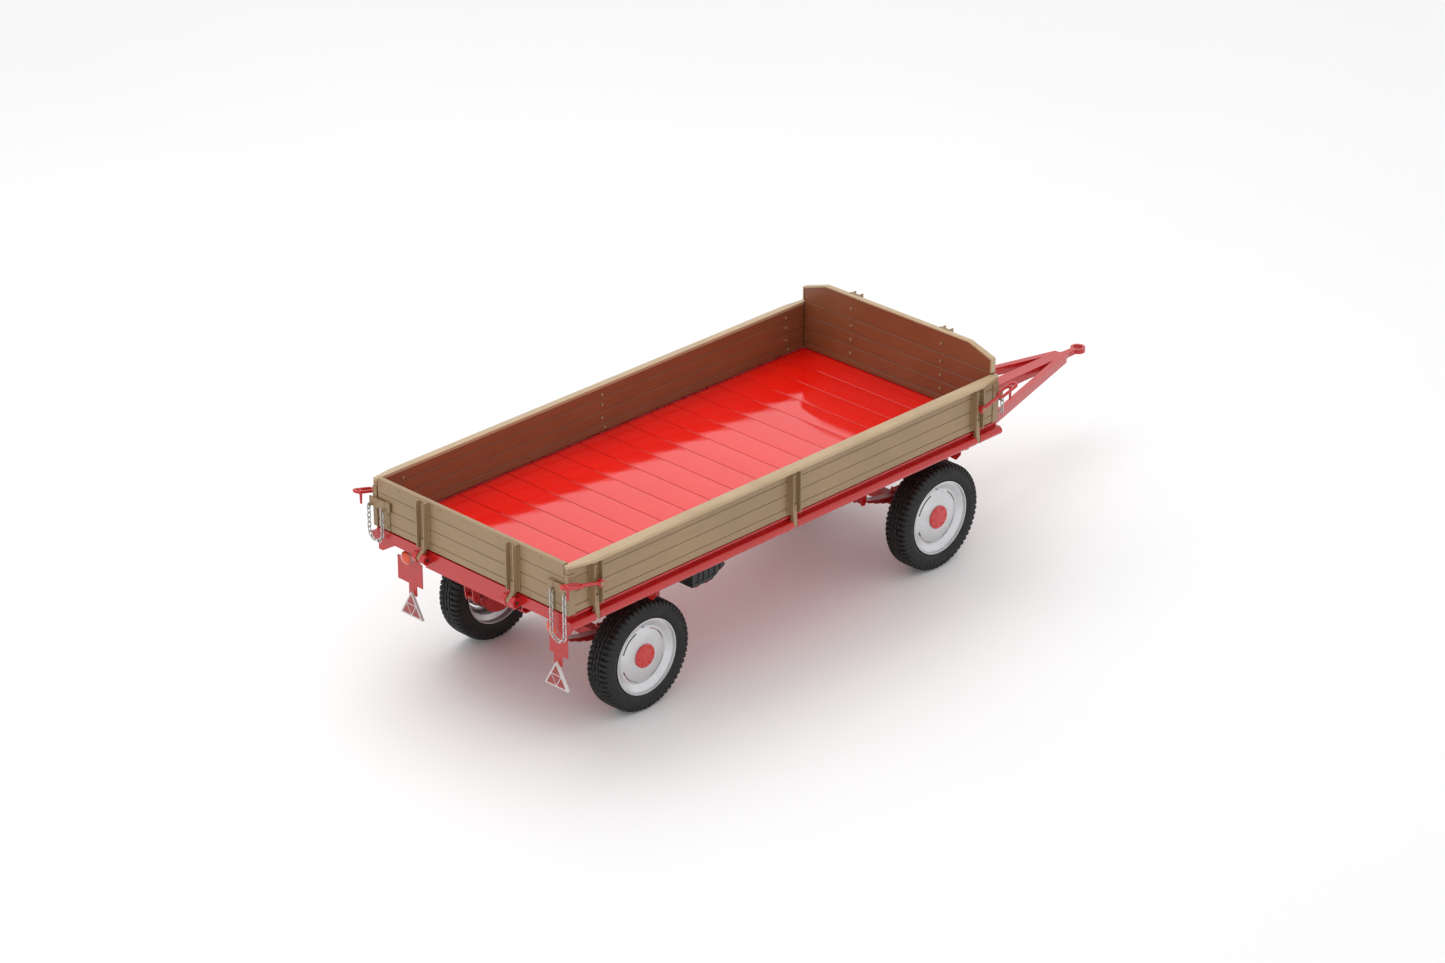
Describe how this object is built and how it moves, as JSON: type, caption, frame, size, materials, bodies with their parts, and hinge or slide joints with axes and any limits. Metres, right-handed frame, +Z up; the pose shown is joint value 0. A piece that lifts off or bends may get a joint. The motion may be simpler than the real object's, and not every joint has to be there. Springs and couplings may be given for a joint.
{
  "type": "grain cart",
  "caption": "Flat two-axle farm cart with a boarded open bed, drop-down sides and tailgate, steered front axle on a turntable, and a V drawbar with a tow eye.",
  "frame": {"origin": "centre of the bounding box at ground level", "axes": "+X towards the tow eye, +Y to the cart's left, +Z up"},
  "size_m": [6.208, 2.0366, 1.572],
  "materials": {
    "outer_boards": "satin",
    "caps": "satin",
    "front_boards": "satin",
    "floor_red": "gloss",
    "frame_red": "gloss",
    "strap_paint": "satin",
    "zinc": "satin",
    "steel_dark": "satin",
    "tyre": "matt",
    "rim_silver": "satin",
    "lamp_body": "gloss",
    "lens": "gloss",
    "reflector": "gloss",
    "tile": "gloss",
    "chock": "matt"
  },
  "bodies": {
    "chassis": {"chassis_beams": "frame_red", "cross_members": "frame_red", "axle_outriggers": "frame_red", "floor_planks": "floor_red", "side_rail_left": "frame_red", "side_rail_right": "frame_red", "rear_beam": "frame_red", "front_wall_boards": "front_boards", "front_wall_cap": "caps", "front_wall_straps": "strap_paint", "front_wall_bolts": "zinc", "light_brackets": "frame_red", "lamp_housings": "lamp_body", "lamp_lenses": "lens", "reflector_frames": "reflector", "reflector_tiles": "tile", "rear_subframe": "frame_red", "turntable_upper_ring": "frame_red", "chock_holder": "frame_red", "hinge_pins": "zinc"},
    "left_wall": {"side_wall_boards_left": "outer_boards", "side_wall_straps_left": "strap_paint", "side_wall_cap_left": "caps", "side_wall_bolts_left": "zinc"},
    "right_wall": {"side_wall_boards_right": "outer_boards", "side_wall_straps_right": "strap_paint", "side_wall_cap_right": "caps", "side_wall_bolts_right": "zinc"},
    "tailgate": {"tailgate_boards": "outer_boards", "tailgate_straps": "strap_paint", "tailgate_bolts": "zinc"},
    "bogie": {"bogie_frame": "frame_red", "turntable_lower_ring": "frame_red"},
    "drawbar": {"drawbar_frame": "frame_red", "tow_eye": "frame_red"},
    "rear_axle": {"rear_axle": "frame_red", "rear_springs": "steel_dark"},
    "front_axle": {"front_axle": "frame_red", "front_springs": "steel_dark"},
    "chock": {"wheel_chock": "chock"},
    "wheel_front_left": {"tyre_front_left": "tyre", "rim_front_left": "rim_silver", "hub_front_left": "frame_red"},
    "latch_front_left": {"latch_front_left": "frame_red"},
    "chain_front_left": {"chain_front_left": "zinc"},
    "wheel_front_right": {"tyre_front_right": "tyre", "rim_front_right": "rim_silver", "hub_front_right": "frame_red"},
    "latch_front_right": {"latch_front_right": "frame_red"},
    "chain_front_right": {"chain_front_right": "zinc"},
    "wheel_rear_left": {"tyre_rear_left": "tyre", "rim_rear_left": "rim_silver", "hub_rear_left": "frame_red"},
    "latch_rear_left": {"latch_rear_left": "frame_red"},
    "chain_rear_left": {"chain_rear_left": "zinc"},
    "wheel_rear_right": {"tyre_rear_right": "tyre", "rim_rear_right": "rim_silver", "hub_rear_right": "frame_red"},
    "latch_rear_right": {"latch_rear_right": "frame_red"},
    "chain_rear_right": {"chain_rear_right": "zinc"}
  },
  "joints": [
    {"name": "left_wall_hinge", "type": "hinge", "parent": "chassis", "child": "left_wall", "pos_m": [-0.946, 0.93, 0.964], "axis": [1, 0, 0], "range_deg": [-180, 0]},
    {"name": "right_wall_hinge", "type": "hinge", "parent": "chassis", "child": "right_wall", "pos_m": [-0.946, -0.93, 0.964], "axis": [1, 0, 0], "range_deg": [0, 180]},
    {"name": "tailgate_hinge", "type": "hinge", "parent": "chassis", "child": "tailgate", "pos_m": [-3.02599, 0, 0.985], "axis": [0, 1, 0], "range_deg": [-180, 0]},
    {"name": "latch_front_left_hinge", "type": "hinge", "parent": "left_wall", "child": "latch_front_left", "pos_m": [0.86701, 0.982, 1.212], "axis": [0, 1, 0], "range_deg": [-38, 0]},
    {"name": "latch_front_right_hinge", "type": "hinge", "parent": "right_wall", "child": "latch_front_right", "pos_m": [0.86701, -0.982, 1.212], "axis": [0, 1, 0], "range_deg": [-38, 0]},
    {"name": "latch_rear_left_hinge", "type": "hinge", "parent": "left_wall", "child": "latch_rear_left", "pos_m": [-2.759, 0.982, 1.212], "axis": [0, -1, 0], "range_deg": [-38, 0]},
    {"name": "latch_rear_right_hinge", "type": "hinge", "parent": "right_wall", "child": "latch_rear_right", "pos_m": [-2.759, -0.982, 1.212], "axis": [0, 1, 0], "range_deg": [0, 38]},
    {"name": "chain_front_left_swing", "type": "hinge", "parent": "chassis", "child": "chain_front_left", "pos_m": [1.136, 0.86, 1.2], "axis": [0, 1, 0], "range_deg": [-80, 0]},
    {"name": "chain_front_right_swing", "type": "hinge", "parent": "chassis", "child": "chain_front_right", "pos_m": [1.136, -0.86, 1.2], "axis": [0, 1, 0], "range_deg": [-80, 0]},
    {"name": "chain_rear_left_swing", "type": "hinge", "parent": "tailgate", "child": "chain_rear_left", "pos_m": [-3.028, 0.86, 1.2], "axis": [0, 1, 0], "range_deg": [0, 180]},
    {"name": "chain_rear_right_swing", "type": "hinge", "parent": "tailgate", "child": "chain_rear_right", "pos_m": [-3.028, -0.86, 1.2], "axis": [0, 1, 0], "range_deg": [0, 180]},
    {"name": "steering", "type": "hinge", "parent": "chassis", "child": "bogie", "pos_m": [0.669, 0, 0.86], "axis": [0, 0, 1], "range_deg": [-90, 90]},
    {"name": "drawbar_hinge", "type": "hinge", "parent": "bogie", "child": "drawbar", "pos_m": [1.249, 0, 0.654], "axis": [0, 1, 0], "range_deg": [-25, 20]},
    {"name": "rear_axle_bounce", "type": "slide", "parent": "chassis", "child": "rear_axle", "axis": [0, 0, 1], "range_m": [-0.04, 0.04], "stiffness_N_per_m": 250000, "springref_m": -0.0192, "deforming": ["rear_springs"]},
    {"name": "front_axle_bounce", "type": "slide", "parent": "bogie", "child": "front_axle", "axis": [0, 0, 1], "range_m": [-0.04, 0.04], "stiffness_N_per_m": 250000, "springref_m": -0.0208, "deforming": ["front_springs"]},
    {"name": "wheel_front_left_spin", "type": "hinge", "parent": "front_axle", "child": "wheel_front_left", "pos_m": [0.669, 0.712, 0.39], "axis": [0, 1, 0], "continuous": true},
    {"name": "wheel_front_right_spin", "type": "hinge", "parent": "front_axle", "child": "wheel_front_right", "pos_m": [0.669, -0.712, 0.39], "axis": [0, 1, 0], "continuous": true},
    {"name": "wheel_rear_left_spin", "type": "hinge", "parent": "rear_axle", "child": "wheel_rear_left", "pos_m": [-2.17599, 0.712, 0.39], "axis": [0, 1, 0], "continuous": true},
    {"name": "wheel_rear_right_spin", "type": "hinge", "parent": "rear_axle", "child": "wheel_rear_right", "pos_m": [-2.17599, -0.712, 0.39], "axis": [0, 1, 0], "continuous": true},
    {"name": "chock_slide", "type": "slide", "parent": "chassis", "child": "chock", "axis": [0, 1, 0], "range_m": [-0.2, 0]}
  ],
  "couplings": [
    {"joint": "chain_rear_left_swing", "follows": "tailgate_hinge", "ratio": -1},
    {"joint": "chain_rear_right_swing", "follows": "tailgate_hinge", "ratio": -1}
  ]
}
